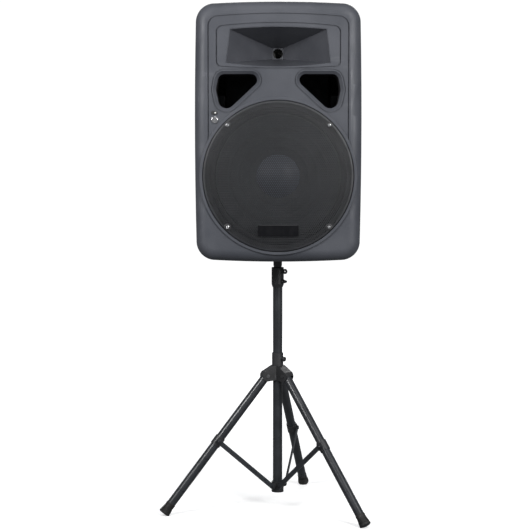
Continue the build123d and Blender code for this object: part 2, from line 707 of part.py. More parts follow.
def make_mains_inlet():
    """Module with the rocker's frame above and the socket below."""
    x, z = INLET
    flange = block((x - 17, x + 17), (REAR_Y, REAR_Y + 2), (z - 29, z + 29))
    flange = fillet(flange.edges().filter_by(Axis.Y), 3)
    module = flange + block((x - 14, x + 14), (REAR_Y - 26, REAR_Y + 1), (z - 26, z + 26))
    module -= block((x - 12, x + 12), (REAR_Y - 18, REAR_Y + 3), (z - 22, z - 5))
    module -= block((x - 7.2, x + 7.2), (REAR_Y - 14, REAR_Y + 3), (z + 2, z + 23.4))
    for dx, dz in ((-7, -16), (7, -16), (0, -10.5)):
        module += block((x + dx - 1, x + dx + 1), (REAR_Y - 19, REAR_Y - 4), (z + dz - 2, z + dz + 2))
    return module


ROCKER_PIVOT = (INLET[0], REAR_Y - 2.5, INLET[1] + 12.7)


def make_power_rocker():
    """Rocker that rests with one half pressed, on a pivot that shows at its sides."""
    outline = make_face(Polyline((4.6, -9.2), (3.2, 0), (4.6, 9.2), (-4, 8), (-4, -8), close=True))
    bar = extrude(Plane.YZ * outline, amount=6.8, both=True) + crossbar(1.4, -7.1, 7.1, 0, 0)
    return Pos(*ROCKER_PIVOT) * Rot(-ROCKER_TILT, 0, 0) * bar


def make_amp_board():
    board = block((-85, 85), (150, 151.6), (CABINET_Z - 140, CABINET_Z + 80))
    for i in range(4):
        board += disc(11, -60 + 40 * i, CABINET_Z + 50, 151, 176)
    for i in range(6):
        x = -65 + 26 * i
        board += block((x, x + 10), (151, 156), (CABINET_Z, CABINET_Z + 16))
    return board


def make_transformer():
    low = CABINET_Z - 205
    core = block((-46, 34), (96, 146), (low, low + 60))
    coil = block((-34, 22), (84, 158), (low + 12, low + 48))
    return core + fillet(coil.edges().filter_by(Axis.Z), 8)


# ---- Stand: mast and height adjustment ----
def make_mast_tube():
    return tube(MAST_R, MAST_R - TUBE_WALL, MAST_LOW, MAST_HIGH)


def make_inner_tube():
    return tube(INNER_R, INNER_R - TUBE_WALL, INNER_LOW, INNER_HIGH)


def knob_side(part):
    """Turns a part drawn along +X to where the thumb screws point."""
    return Rot(0, 0, KNOB_AZIMUTH) * part


def make_upper_clamp():
    skirt = 8.0
    clamp = tube(CLAMP_R, INNER_R + RUNNING_GAP, CLAMP_LOW + skirt, CLAMP_HIGH)
    clamp = chamfer(clamp.edges().group_by(Axis.Z)[-1].sort_by(SortBy.RADIUS)[-1], 1.5)
    clamp += Pos(0, 0, CLAMP_LOW) * Solid.make_cone(CLAMP_R - 2.6, CLAMP_R, skirt)
    clamp -= rod(MAST_R, CLAMP_LOW - 1, MAST_HIGH)
    for z in (CLAMP_KNOB_Z, LOCK_KNOB_Z):
        clamp += knob_side(crossbar(5.5, 14.5, 18.2, 0, z))
        clamp -= knob_side(crossbar(KNOB_STEM_R, 0, 20, 0, z))
    return clamp


def make_clamp_knob():
    """Thumb screw with a flat eye."""
    stem = crossbar(KNOB_STEM_R - RUNNING_GAP, MAST_R + 0.6, 20, 0, CLAMP_KNOB_Z)
    eye = Pos(25.5, 3, CLAMP_KNOB_Z) * Rot(90, 0, 0) * extrude(Circle(7) - Circle(2.6), amount=6)
    return knob_side(stem + eye)


def make_lock_knob():
    """Thumb screw with a pointed grip."""
    stem = crossbar(KNOB_STEM_R - RUNNING_GAP, MAST_R + 0.6, 20, 0, LOCK_KNOB_Z)
    grip = Pos(18.7, 0, LOCK_KNOB_Z) * Rot(0, 90, 0) * Solid.make_cone(6.4, 3.2, 12)
    return knob_side(stem + grip)


def make_pole_sleeve():
    """Sleeve that fits the stand's thin tube to the cabinet's wide cup."""
    bore = INNER_R + RUNNING_GAP
    sleeve = tube(SLEEVE_COLLAR_R, bore, SLEEVE_LOW, SOCKET_LOW + 1)
    sleeve += tube(SOCKET_R, bore, SOCKET_LOW, INNER_HIGH + 0.4)
    return sleeve + rod(SOCKET_R, INNER_HIGH + 0.4, SOCKET_HIGH)


# ---- Stand: hub, legs and braces ----
def around(azimuth):
    return Rot(0, 0, azimuth)


def beside_leg(name, part):
    """Puts a part drawn on the +Y side of a leg's plane on the side where that leg has its brace."""
    chosen = part if BRACE_SIDES[name] == 1 else mirror(part, Plane.XZ)
    return around(LEG_AZIMUTHS[name]) * chosen


def leg_frame():
    """Frame at the hub pivot, with -Z along the leg."""
    return Pos(HUB_ARM, 0, HUB_Z) * Rot(0, -LEG_ANGLE, 0)


def side_pin(radius, x, z, start, end):
    """Round bar along the tangential direction of a leg's own plane."""
    return Pos(x, start, z) * Rot(-90, 0, 0) * extrude(Circle(radius), amount=end - start)


def make_hub():
    """Boss that slides on the mast, with a forked arm for each leg."""
    body = rod(HUB_BOSS_R, HUB_BOTTOM, HUB_TOP)
    body = chamfer(body.edges().group_by(Axis.Z)[-1], 1.5)
    cap = LEG_R + 2.7
    outline = [
        (0, HUB_BOTTOM), (HUB_ARM, HUB_Z - cap), (HUB_ARM + 5, HUB_Z + cap - 0.9),
        (14, HUB_Z + 28), (0, HUB_Z + 28),
    ]
    arm = extrude(Plane.XZ * make_face(Polyline(*outline, close=True)), amount=LUG_FACE, both=True)
    arm += side_pin(cap, HUB_ARM, HUB_Z, -LUG_FACE, LUG_FACE)
    slot = LEG_R + 0.4
    cut = side_pin(LEG_R + 0.6, HUB_ARM, HUB_Z, -slot, slot)
    for share in (0.0, 0.25, 0.5, 0.75, 1.0):
        swing = Pos(HUB_ARM, 0, HUB_Z) * Rot(0, -LEG_ANGLE * share, 0)
        cut += swing * block((-LEG_R - 0.6, LEG_R + 0.6), (-slot, slot), (-60, 0))
    cut += side_pin(HUB_PIN_R + RUNNING_GAP, HUB_ARM, HUB_Z, -20, 20)
    zones = []
    for azimuth in LEG_AZIMUTHS.values():
        body += around(azimuth) * arm
        zones.append(around(azimuth) * block((HUB_SPLIT, 80), (-30, 30), (HUB_Z - 60, HUB_Z + 34)))
    for azimuth in LEG_AZIMUTHS.values():
        body -= around(azimuth) * cut
    body += rod(MAST_R + 3.6, HUB_BOTTOM, HUB_Z + 14)
    body += knob_side(crossbar(6, 12, 18.5, 0, HUB_KNOB_Z))
    body -= rod(MAST_R + RUNNING_GAP, 300, 500)
    body -= knob_side(crossbar(KNOB_STEM_R, 0, 30, 0, HUB_KNOB_Z))
    # The arms are castings of their own, fixed to the boss at a flat face. The boss is in sectors.
    boss = body - zones[0] - zones[1] - zones[2]
    castings = [solid for zone in zones for solid in (body & zone).solids()]
    half_width = 80 * tan(radians(180 / HUB_SECTORS))
    wedge = make_face(Polyline((0, 0), (80, -half_width), (80, half_width), close=True))
    sector = Pos(0, 0, HUB_Z - 60) * extrude(wedge, amount=160)
    for i in range(HUB_SECTORS):
        turn = LEG_AZIMUTHS["right"] + 360 * i / HUB_SECTORS
        castings += (boss & around(turn) * sector).solids()
    return Compound(children=castings)


def make_hub_pins():
    pins = []
    for azimuth in LEG_AZIMUTHS.values():
        pin = side_pin(HUB_PIN_R, HUB_ARM, HUB_Z, -LUG_FACE, LUG_FACE)
        pin += side_pin(5, HUB_ARM, HUB_Z, LUG_FACE, LUG_FACE + 1.8)
        pin += side_pin(5, HUB_ARM, HUB_Z, -LUG_FACE - 1.8, -LUG_FACE)
        pins.append(around(azimuth) * pin)
    return Compound(children=pins)


def make_hub_knob():
    stem = crossbar(KNOB_STEM_R - RUNNING_GAP, MAST_R + 0.6, 21, 0, HUB_KNOB_Z)
    head = crossbar(7, 19, 26, 0, HUB_KNOB_Z)
    head = fillet(head.edges(), 1.5)
    return knob_side(stem + head)


def make_leg(azimuth):
    length = LEG_LENGTH - 6
    leg = tube(LEG_R, LEG_R - TUBE_WALL, -length, 2.0)
    leg -= side_pin(HUB_PIN_R + RUNNING_GAP, 0, 0, -20, 20)
    return around(azimuth) * leg_frame() * leg


def make_foot(azimuth):
    """Flared rubber boot, cut flat where it stands on the floor."""
    low, high = -LEG_LENGTH, -LEG_LENGTH + FOOT_LENGTH
    points = [
        (0, low), (FOOT_R - 2, low), (FOOT_R, low + 2.5), (FOOT_R, low + 7), (FOOT_R - 1.6, low + 14),
        (LEG_R + 1.0, low + 22), (LEG_R + 0.8, high - 1), (LEG_R + 0.4, high), (LEG_R, high),
        (LEG_R, low + 6), (0, low + 6),
    ]
    boot = revolve(Plane.XZ * make_face(Polyline(*points, close=True)), Axis.Z)
    boot = around(azimuth) * leg_frame() * boot
    return boot - Pos(0, 0, -50) * Box(1000, 1000, 100)


def make_bracket(name):
    """Clamp around the leg with a flat ear towards the brace."""
    clamp = tube(BRACKET_R, LEG_R, -BRACKET_DROP - 14, -BRACKET_DROP + 14)
    ear = block((-8, 8), (9, LUG_FACE), (-BRACKET_DROP - 11, -BRACKET_DROP + 11))
    ear = fillet(ear.edges().filter_by(Axis.Y), 4)
    ear -= rod(LEG_R, -BRACKET_DROP - 20, -BRACKET_DROP + 20)
    return beside_leg(name, leg_frame() * (clamp + ear))


def brace_frame():
    """Frame at the collar pivot, with +Z along the brace."""
    return Pos(COLLAR_PIVOT[0], 0, COLLAR_PIVOT[1]) * Rot(0, BRACE_ANGLE, 0)


def make_brace(name):
    low, high = BRACE_LAYER
    strip = Pos(0, 0, BRACE_LENGTH / 2) * Rot(90, 0, 0) * Rot(0, 0, 90) * extrude(
        SlotCenterToCenter(BRACE_LENGTH, BRACE_WIDTH), amount=high - low
    )
    strip = Pos(0, high, 0) * strip
    strip -= side_pin(PIN_R + RUNNING_GAP, 0, 0, low - 1, high + 1)
    strip -= side_pin(PIN_R, 0, BRACE_LENGTH, low - 1, high + 1)
    return beside_leg(name, brace_frame() * strip)


def make_brace_rivet(name):
    low, high = BRACE_LAYER
    rivet = side_pin(PIN_R, 0, BRACE_LENGTH, low, high)
    head = side_pin(5.2, 0, BRACE_LENGTH, high, high + 2.4)
    head = fillet(head.edges().group_by(Axis.Y)[-1], 1.4)
    return beside_leg(name, brace_frame() * (rivet + head))


def make_bottom_collar():
    collar = tube(COLLAR_R, MAST_R, COLLAR_LOW, COLLAR_HIGH)
    collar += rod(COLLAR_R, COLLAR_LOW - 4, COLLAR_LOW + 1)
    x, z = COLLAR_PIVOT
    for name in LEG_AZIMUTHS:
        lug = side_pin(7, x, z, LUG_FACE - 3, LUG_FACE)
        lug += block((6, x), (LUG_FACE - 3, LUG_FACE), (z - 7, z + 7))
        lug -= side_pin(PIN_R, x, z, 0, 30)
        collar += beside_leg(name, lug)
    return collar - rod(MAST_R, COLLAR_LOW + 1, COLLAR_HIGH + 30)


def make_collar_pins():
    pins = []
    x, z = COLLAR_PIVOT
    for name in LEG_AZIMUTHS:
        pin = side_pin(PIN_R, x, z, LUG_FACE - 3, BRACE_LAYER[1] + 0.4)
        pin += side_pin(4.6, x, z, BRACE_LAYER[1] + 0.4, BRACE_LAYER[1] + 2.4)
        pins.append(beside_leg(name, pin))
    return Compound(children=pins)


def make_parts():
    parts = {
        "front_shell": make_front_shell(),
        "rear_shell": make_rear_shell(),
        "shell_screws": make_shell_screws(),
        "top_handle": make_top_handle(),
        "pole_cup": make_pole_cup(),
        "horn_flare": make_horn_flare(),
        "compression_driver": make_compression_driver(),
        "port_tubes": make_port_tubes(),
        "woofer_basket": make_woofer_basket(),
        "woofer_magnet": make_woofer_magnet(),
        "woofer_surround": make_woofer_surround(),
        "woofer_spider": make_woofer_spider(),
        "woofer_cone": make_woofer_cone(),
        "dust_cap": make_dust_cap(),
        "voice_coil": make_voice_coil(),
        "woofer_bolts": make_woofer_bolts(),
        "grille": make_grille(),
        "grille_screws": make_grille_screws(),
        "badge_plate": make_badge_plate(),
        "indicator_bezel": make_indicator_bezel(),
        "indicator_lens": make_indicator_lens(),
        "push_button": make_push_button(),
        "amp_panel": make_amp_panel(),
        "panel_screws": make_panel_screws(),
        "amp_heatsink": make_amp_heatsink(),
        "amp_board": make_amp_board(),
        "transformer": make_transformer(),
        "potentiometers": make_potentiometers(),
        "input_jacks": make_input_jacks(),
        "mains_inlet": make_mains_inlet(),
        "power_rocker": make_power_rocker(),
        "mast_tube": make_mast_tube(),
        "inner_tube": make_inner_tube(),
        "upper_clamp": make_upper_clamp(),
        "clamp_knob": make_clamp_knob(),
        "lock_knob": make_lock_knob(),
        "pole_sleeve": make_pole_sleeve(),
        "hub": make_hub(),
        "hub_pins": make_hub_pins(),
        "hub_knob": make_hub_knob(),
        "bottom_collar": make_bottom_collar(),
        "collar_pins": make_collar_pins(),
    }
    for name, x in KNOB_X.items():
        parts[f"{name}_knob"] = make_knob(x)
    for name, azimuth in LEG_AZIMUTHS.items():
        parts[f"leg_{name}"] = make_leg(azimuth)
        parts[f"foot_{name}"] = make_foot(azimuth)
        parts[f"bracket_{name}"] = make_bracket(name)
        parts[f"brace_{name}"] = make_brace(name)
        parts[f"rivet_{name}"] = make_brace_rivet(name)
    return parts


def footprint_centre(parts):
    """Middle of the whole object's outline, seen from above."""
    boxes = [part.bounding_box() for part in parts.values()]
    x_low, x_high = min(b.min.X for b in boxes), max(b.max.X for b in boxes)
    y_low, y_high = min(b.min.Y for b in boxes), max(b.max.Y for b in boxes)
    return (x_low + x_high) / 2, (y_low + y_high) / 2


PARTS = make_parts()
CENTRE = footprint_centre(PARTS)
os.makedirs("parts", exist_ok=True)
for part_name, part in PARTS.items():
    export_step(Pos(-CENTRE[0], -CENTRE[1], 0) * part, f"parts/{part_name}.step")
print(len(PARTS), "parts; mast axis at", round(-CENTRE[0], 3), round(-CENTRE[1], 3))
print("leg angle", round(LEG_ANGLE, 3), "brace angle", round(BRACE_ANGLE, 3),
      "folded", round(FOLDED_BRACE_ANGLE, 3), "fold travel", round(FOLD_TRAVEL, 3))
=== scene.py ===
from math import atan2, cos, hypot, pi, radians, sin, sqrt, tau

import bmesh
import bpy
from mathutils import Matrix, Vector


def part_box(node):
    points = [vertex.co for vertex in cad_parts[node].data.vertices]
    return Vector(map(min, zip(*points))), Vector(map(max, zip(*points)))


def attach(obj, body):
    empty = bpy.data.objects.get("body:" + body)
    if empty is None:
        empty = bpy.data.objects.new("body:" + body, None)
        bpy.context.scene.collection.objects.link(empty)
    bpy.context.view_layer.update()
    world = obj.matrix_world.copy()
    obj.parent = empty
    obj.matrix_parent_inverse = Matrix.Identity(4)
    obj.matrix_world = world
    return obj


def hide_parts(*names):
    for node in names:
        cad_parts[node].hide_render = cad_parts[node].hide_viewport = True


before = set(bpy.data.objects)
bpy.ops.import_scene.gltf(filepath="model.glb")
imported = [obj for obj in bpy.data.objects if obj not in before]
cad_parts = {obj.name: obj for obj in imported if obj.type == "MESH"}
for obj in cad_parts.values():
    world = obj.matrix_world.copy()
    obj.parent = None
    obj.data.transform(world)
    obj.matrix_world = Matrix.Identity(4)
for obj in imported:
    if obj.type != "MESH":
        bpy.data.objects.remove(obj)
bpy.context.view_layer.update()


def middle(node):
    low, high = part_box(node)
    return (low + high) / 2


MAST = middle("mast_tube")
WOOFER = middle("woofer_magnet")
WOOFER.y = 0
GRILLE_LOW, GRILLE_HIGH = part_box("grille")
PANEL_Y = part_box("amp_panel")[1].y
TO_FRONT = Matrix.Rotation(pi / 2, 4, "X")     # local +Z becomes -Y
TO_BACK = Matrix.Rotation(-pi / 2, 4, "X")     # local +Z becomes +Y
TO_RIGHT = Matrix.Rotation(pi / 2, 4, "Y")     # local +Z becomes +X


# ---- Camera and light ----
CAMERA_LENS = 100.3
CAMERA_SENSOR = 36
CAMERA_LEFT = 0.0324        # of the mast
CAMERA_AWAY = 4.1           # in front of the mast
CAMERA_HEIGHT = 0.973
CAMERA_DOWN = 4.073         # degrees below level


def make_camera():
    data = bpy.data.cameras.new("camera")
    data.lens = CAMERA_LENS
    data.sensor_width = CAMERA_SENSOR
    data.clip_start, data.clip_end = 0.1, 80
    camera = bpy.data.objects.new("camera", data)
    camera.location = (MAST.x - CAMERA_LEFT, MAST.y - CAMERA_AWAY, CAMERA_HEIGHT)
    camera.rotation_euler = (radians(90 - CAMERA_DOWN), 0, 0)
    bpy.context.collection.objects.link(camera)
    bpy.context.scene.camera = camera


def make_light(name, place, aim, size, power):
    data = bpy.data.lights.new(name, "AREA")
    data.shape = "RECTANGLE"
    data.size, data.size_y = size
    data.energy = power
    light = bpy.data.objects.new(name, data)
    light.location = place
    light.rotation_euler = (Vector(aim) - Vector(place)).to_track_quat("-Z", "Y").to_euler()
    light.visible_camera = False
    bpy.context.collection.objects.link(light)


SEEN_STRENGTH = 1.05
FILL_STRENGTH = 0.2


def make_world():
    """White to the camera, and a dimmer grey all round as fill light."""
    world = bpy.data.worlds.new("studio")
    world.use_nodes = True
    tree = world.node_tree
    tree.nodes.clear()
    seen = tree.nodes.new("ShaderNodeBackground")
    seen.inputs["Color"].default_value = (1, 1, 1, 1)
    seen.inputs["Strength"].default_value = SEEN_STRENGTH
    fill = tree.nodes.new("ShaderNodeBackground")
    fill.inputs["Color"].default_value = (0.93, 0.96, 1, 1)
    fill.inputs["Strength"].default_value = FILL_STRENGTH
    path = tree.nodes.new("ShaderNodeLightPath")
    mix = tree.nodes.new("ShaderNodeMixShader")
    output = tree.nodes.new("ShaderNodeOutputWorld")
    tree.links.new(path.outputs["Is Camera Ray"], mix.inputs["Fac"])
    tree.links.new(fill.outputs[0], mix.inputs[1])
    tree.links.new(seen.outputs[0], mix.inputs[2])
    tree.links.new(mix.outputs[0], output.inputs["Surface"])
    bpy.context.scene.world = world


# ---- Materials ----
class Surface:
    """A material's node tree, with short calls that add nodes and join them."""

    def __init__(self, name, metallic=0.0, coat=0.0, coat_roughness=0.1, specular=0.5):
        self.material = bpy.data.materials.new(name)
        self.material.use_nodes = True
        self.tree = self.material.node_tree
        self.shader = self.tree.nodes["Principled BSDF"]
        self.shader.inputs["Metallic"].default_value = metallic
        self.shader.inputs["Coat Weight"].default_value = coat
        self.shader.inputs["Coat Roughness"].default_value = coat_roughness
        self.shader.inputs["Specular IOR Level"].default_value = specular
        self.place = self.add("ShaderNodeTexCoord").outputs["Object"]

    def add(self, kind, inputs=None, **settings):
        node = self.tree.nodes.new(kind)
        for key, value in settings.items():
            setattr(node, key, value)
        for key, value in (inputs or {}).items():
            self.set(node.inputs[key], value)
        return node

    def set(self, socket, value):
        if isinstance(value, bpy.types.NodeSocket):
            self.tree.links.new(value, socket)
        elif socket.type == "RGBA":
            socket.default_value = (*value, 1)
        else:
            socket.default_value = value

    def stretched(self, scale, shift=(0, 0, 0), turn=(0, 0, 0)):
        inputs = {"Vector": self.place, "Location": shift, "Rotation": turn, "Scale": scale}
        return self.add("ShaderNodeMapping", inputs).outputs[0]

    def noise(self, size, detail=2.0, vector=None):
        inputs = {"Vector": vector or self.place, "Scale": 1 / size, "Detail": detail}
        return self.add("ShaderNodeTexNoise", inputs).outputs[0]

    def cells(self, size):
        inputs = {"Vector": self.place, "Scale": 1 / size}
        return self.add("ShaderNodeTexVoronoi", inputs, feature="F1").outputs["Distance"]

    def rings(self, size, centre, axis):
        shift = self.stretched((1, 1, 1), tuple(-v for v in centre))
        inputs = {"Vector": shift, "Scale": 0.05 / size, "Distortion": 0.0}
        wave = self.add("ShaderNodeTexWave", inputs, wave_type="RINGS", rings_direction=axis)
        return wave.outputs["Fac"]

    def range(self, value, low, high, start=0.0, end=1.0):
        inputs = {0: value, 1: low, 2: high, 3: start, 4: end}
        return self.add("ShaderNodeMapRange", inputs).outputs[0]

    def mix(self, share, first, second):
        inputs = {0: share, 6: first, 7: second}
        return self.add("ShaderNodeMix", inputs, data_type="RGBA").outputs[2]

    def maths(self, operation, first, second):
        return self.add("ShaderNodeMath", {0: first, 1: second}, operation=operation).outputs[0]

    def bump(self, height, depth, strength=1.0, under=None):
        inputs = {"Height": height, "Distance": depth, "Strength": strength}
        if under is not None:
            inputs["Normal"] = under
        return self.add("ShaderNodeBump", inputs).outputs[0]

    def finish(self, colour, roughness, normal=None):
        self.set(self.shader.inputs["Base Color"], colour)
        self.set(self.shader.inputs["Roughness"], roughness)
        if normal is not None:
            self.set(self.shader.inputs["Normal"], normal)
        return self.material


def scuffs(surface, amount, length=0.06, width=0.0012):
    """Mask of short faint scratches that run in two directions."""
    masks = []
    for turn in (0.35, -0.9):
        vector = surface.stretched((width / length, 1, width / length * 6), turn=(0.2, turn, 0.1))
        streak = surface.noise(width * 3, 3, vector)
        masks.append(surface.range(streak, 0.66, 0.78, 0, amount))
    patches = surface.range(surface.noise(0.11, 2), 0.5, 0.62)
    return surface.maths("MULTIPLY", surface.maths("MAXIMUM", *masks), patches)


def moulded_plastic(name, dark, light, rough, grain, depth, marks=0.0, specular=0.5):
    """Moulded plastic with a fine pebbled grain, uneven sheen and faint scuffs."""
    s = Surface(name, specular=specular)
    patches = s.range(s.noise(0.09, 4), 0.35, 0.65)
    colour = s.mix(patches, dark, light)
    speck = s.range(s.noise(grain * 0.8, 2), 0.58, 0.75, 0, 0.35)
    colour = s.mix(speck, colour, tuple(min(1, 1.5 * c) for c in light))
    sheen = s.range(s.noise(0.035, 4), 0.3, 0.7, *rough)
    if marks:
        worn = scuffs(s, marks)
        colour = s.mix(worn, colour, (0.16, 0.165, 0.175))
        sheen = s.maths("ADD", sheen, s.maths("MULTIPLY", worn, 0.25))
    pebbles = s.bump(s.cells(grain), depth, 0.7)
    normal = s.bump(s.noise(grain * 0.35, 2), depth * 0.6, 0.6, pebbles)
    return s.finish(colour, sheen, normal)


def painted_metal(name, dark, light, rough, chips=0.0, peel=0.0009, depth=0.00004):
    """Powder paint with orange peel, dusty patches and small chips."""
    s = Surface(name)
    colour = s.mix(s.range(s.noise(0.05, 4), 0.35, 0.65), dark, light)
    sheen = s.range(s.noise(0.02, 3), 0.3, 0.7, *rough)
    if chips:
        spots = s.range(s.noise(0.0035, 4), 0.69, 0.72)
        area = s.range(s.noise(0.06, 2), 0.54, 0.6, 0, chips)
        worn = s.maths("MULTIPLY", spots, area)
        colour = s.mix(worn, colour, (0.3, 0.3, 0.31))
    normal = s.bump(s.noise(peel, 3), depth, 0.8)
    return s.finish(colour, sheen, normal)


def bright_metal(name, dark, light, rough, direction=(1, 1, 12), size=0.0008, depth=0.00001):
    """Plated or bare metal with fine tool marks and a slightly uneven shine."""
    s = Surface(name, metallic=1.0)
    colour = s.mix(s.range(s.noise(0.004, 3), 0.3, 0.7), dark, light)
    lines = s.noise(size, 2, s.stretched(direction))
    sheen = s.range(lines, 0.3, 0.7, *rough)
    return s.finish(colour, sheen, s.bump(lines, depth, 0.6))


def paper(name, dark, light, rough, ring):
    """Pulp paper with fibres and faint pressed rings about the driver's axis."""
    s = Surface(name, specular=0.4)
    fibres = s.noise(0.0012, 5, s.stretched((1, 1, 0.35), turn=(0, 0.6, 0)))
    colour = s.mix(s.range(fibres, 0.35, 0.65), dark, light)
    rings = s.rings(ring, WOOFER, "Y")
    colour = s.mix(s.range(rings, 0.6, 1.0, 0, 0.35), colour, light)
    sheen = s.range(s.noise(0.006, 3), 0.3, 0.7, *rough)
    normal = s.bump(fibres, 0.00008, 0.8)
    return s.finish(colour, sheen, s.bump(rings, 0.0002, 0.5, normal))


def rubber(name, dark, light, rough, dust=0.3):
    """Matt rubber with dust in its pores."""
    s = Surface(name, specular=0.35)
    colour = s.mix(s.range(s.noise(0.02, 4), 0.35, 0.65), dark, light)
    dusty = s.range(s.noise(0.004, 5), 0.55, 0.75, 0, dust)
    colour = s.mix(dusty, colour, (0.14, 0.135, 0.13))
    normal = s.bump(s.noise(0.0007, 3), 0.00006, 0.9)
    return s.finish(colour, s.range(s.noise(0.01, 3), 0.3, 0.7, *rough), normal)


def circuit_board():
    s = Surface("circuit_board", coat=0.3)
    tracks = s.add("ShaderNodeTexBrick", {"Vector": s.stretched((1, 1, 1), turn=(pi / 2, 0, 0)),
                   "Scale": 90.0, "Mortar Size": 0.012}).outputs["Fac"]
    colour = s.mix(s.range(s.noise(0.01, 3), 0.3, 0.7), (0.01, 0.07, 0.03), (0.02, 0.11, 0.05))
    colour = s.mix(s.range(tracks, 0, 1, 0, 0.8), colour, (0.04, 0.2, 0.08))
    return s.finish(colour, s.range(s.noise(0.004, 2), 0.3, 0.7, 0.3, 0.5), s.bump(tracks, 0.0001, 0.5))


def gloss_black(name, rough=(0.06, 0.16)):
    """Gloss plastic with a thin haze of dust and hairlines."""
    s = Surface(name, coat=0.25, coat_roughness=0.08, specular=0.3)
    colour = s.mix(s.range(s.noise(0.012, 4), 0.4, 0.7), (0.003, 0.003, 0.004), (0.006, 0.006, 0.007))
    hair = s.noise(0.0006, 2, s.stretched((0.04, 1, 1), turn=(0, 0.5, 0)))
    sheen = s.range(hair, 0.4, 0.8, *rough)
    return s.finish(colour, sheen, s.bump(s.noise(0.006, 2), 0.00003, 0.4))


def lens_plastic():
    s = Surface("lens_plastic", coat=0.5)
    s.shader.inputs["Transmission Weight"].default_value = 0.35
    colour = s.mix(s.range(s.noise(0.0012, 2), 0.3, 0.7), (0.75, 0.75, 0.72), (0.92, 0.92, 0.9))
    return s.finish(colour, s.range(s.noise(0.002, 2), 0.3, 0.7, 0.08, 0.2))


def copper_winding():
    s = Surface("copper_winding", metallic=0.9)
    inputs = {"Vector": s.place, "Scale": 160.0}
    turns = s.add("ShaderNodeTexWave", inputs, bands_direction="Y").outputs["Fac"]
    colour = s.mix(turns, (0.35, 0.13, 0.05), (0.75, 0.36, 0.18))
    return s.finish(colour, s.range(s.noise(0.003, 2), 0.3, 0.7, 0.3, 0.45), s.bump(turns, 0.0001, 0.6))


def floor_surface():
    """Pale studio floor that brightens into the white background with distance."""
    s = Surface("studio_floor", specular=0.1)
    away = s.add("ShaderNodeVectorMath", {0: s.place}, operation="LENGTH").outputs["Value"]
    s.shader.inputs["Emission Color"].default_value = (1, 1, 1, 1)
    s.set(s.shader.inputs["Emission Strength"], s.range(away, 0.4, 3.5, 0.42, 0.9))
    tone = s.mix(s.range(s.noise(0.5, 2), 0.3, 0.7), (0.78, 0.78, 0.78), (0.8, 0.8, 0.8))
    return s.finish(tone, 0.9)


FINISH = {
    "cabinet_plastic": moulded_plastic(
        "cabinet_plastic", (0.043, 0.046, 0.055), (0.057, 0.060, 0.070), (0.44, 0.58),
        0.0016, 0.0001, 0.4, 0.32),
    "horn_plastic": moulded_plastic(
        "horn_plastic", (0.044, 0.046, 0.054), (0.056, 0.058, 0.067), (0.32, 0.44), 0.0013, 0.00006, 0.2),
    "black_plastic": moulded_plastic(
        "black_plastic", (0.010, 0.010, 0.011), (0.018, 0.018, 0.020), (0.4, 0.6), 0.0010, 0.00006, 0.2),
    "grille_metal": painted_metal(
        "grille_metal", (0.009, 0.010, 0.012), (0.014, 0.015, 0.018), (0.5, 0.64), 0.2, 0.0006, 0.00003),
    "cone_paper": paper("cone_paper", (0.014, 0.015, 0.017), (0.026, 0.027, 0.030), (0.6, 0.8), 0.007),
    "cap_paper": paper("cap_paper", (0.045, 0.050, 0.068), (0.065, 0.072, 0.095), (0.4, 0.55), 0.009),
    "surround": rubber("surround", (0.012, 0.012, 0.013), (0.020, 0.020, 0.021), (0.6, 0.8), 0.15),
    "coil": copper_winding(),
    "basket_alloy": painted_metal("basket_alloy", (0.020, 0.020, 0.022), (0.032, 0.032, 0.035), (0.45, 0.6)),
    "magnet_iron": bright_metal("magnet_iron", (0.05, 0.05, 0.05), (0.09, 0.088, 0.085), (0.4, 0.6)),
    "screw_steel": bright_metal("screw_steel", (0.52, 0.52, 0.53), (0.72, 0.72, 0.73), (0.18, 0.32)),
    "dark_screw": bright_metal("dark_screw", (0.05, 0.05, 0.055), (0.09, 0.09, 0.095), (0.25, 0.4)),
    "badge": gloss_black("badge_gloss"),
    "lamp_lens": lens_plastic(),
    "button_chrome": bright_metal(
        "button_chrome", (0.62, 0.61, 0.62), (0.80, 0.79, 0.80), (0.16, 0.3), (14, 1, 1), 0.0008),
    "panel_metal": painted_metal(
        "panel_metal", (0.016, 0.016, 0.017), (0.024, 0.024, 0.026), (0.4, 0.55), 0.3),
    "board": circuit_board(),
    "jack_metal": bright_metal("jack_metal", (0.42, 0.42, 0.43), (0.62, 0.62, 0.63), (0.2, 0.36)),
    "stand_paint": painted_metal(
        "stand_paint", (0.015, 0.0165, 0.019), (0.024, 0.026, 0.030), (0.26, 0.36), 0.1, 0.0012, 0.000006),
    "stand_plastic": moulded_plastic(
        "stand_plastic", (0.014, 0.014, 0.015), (0.024, 0.024, 0.026), (0.34, 0.5), 0.0011, 0.00006, 0.4),
    "foot_rubber": rubber("foot_rubber", (0.010, 0.010, 0.010), (0.019, 0.0185, 0.018), (0.55, 0.75)),
}


PRINT = moulded_plastic("pale_print", (0.55, 0.55, 0.54), (0.68, 0.68, 0.67), (0.45, 0.6), 0.0006, 0.00002)


DARK_PINS = bright_metal("blackened_pins", (0.10, 0.10, 0.105), (0.17, 0.17, 0.175), (0.3, 0.45))


def finish_cad_nodes():
    """Every CAD node takes the material of its own slot, the hub pins a blackened metal."""
    for name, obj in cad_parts.items():
        for index, slot in enumerate(obj.material_slots):
            key = slot.material.name.split(".")[0]
            slot.material = DARK_PINS if name == "hub_pins" else FINISH[key]


